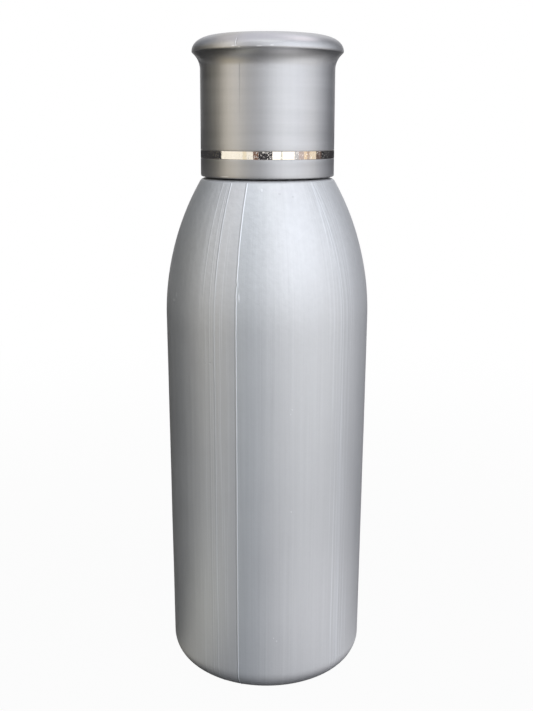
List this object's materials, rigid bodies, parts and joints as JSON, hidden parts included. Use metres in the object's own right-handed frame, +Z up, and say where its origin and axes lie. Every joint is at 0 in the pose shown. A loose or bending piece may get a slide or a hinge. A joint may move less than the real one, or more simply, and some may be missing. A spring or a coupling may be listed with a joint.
{
  "type": "oil bottle",
  "caption": "Round plastic oil bottle with a domed shoulder, a dripper plug in its neck and a flared screw cap with a foil band.",
  "frame": {"origin": "centre of the foot, on the surface that the bottle stands on", "axes": "+Z up along the bottle's axis towards the cap; -Y towards the viewer of the picture"},
  "size_m": [0.05, 0.05, 0.1579],
  "materials": {
    "bottle_plastic": "silver pearl pigment, satin skin with faint mould lines",
    "plug_plastic": "natural unpigmented soft plastic",
    "wad_foam": "matt white foamed sheet",
    "inner_cap_plastic": "white, as moulded",
    "cap_plastic": "silver pearl pigment, semi-gloss",
    "band_foil": "mirror, slightly warm"
  },
  "bodies": {
    "bottle": {"bottle": "bottle_plastic", "neck_plug": "plug_plastic"},
    "liner": {"sealing_wad": "wad_foam"},
    "cap": {"inner_cap": "inner_cap_plastic", "outer_cap": "cap_plastic", "foil_band": "band_foil"}
  },
  "joints": [
    {"name": "cap_lift", "type": "slide", "parent": "bottle", "child": "liner", "axis": [0, 0, 1], "range_m": [0, 0.00477]},
    {"name": "cap_turn", "type": "hinge", "parent": "liner", "child": "cap", "pos_m": [0, 0, 0.1256], "axis": [0, 0, 1], "range_deg": [0, 540]}
  ],
  "couplings": [
    {"joint": "cap_lift", "follows": "cap_turn", "m_per_rad": 0.00050611}
  ]
}
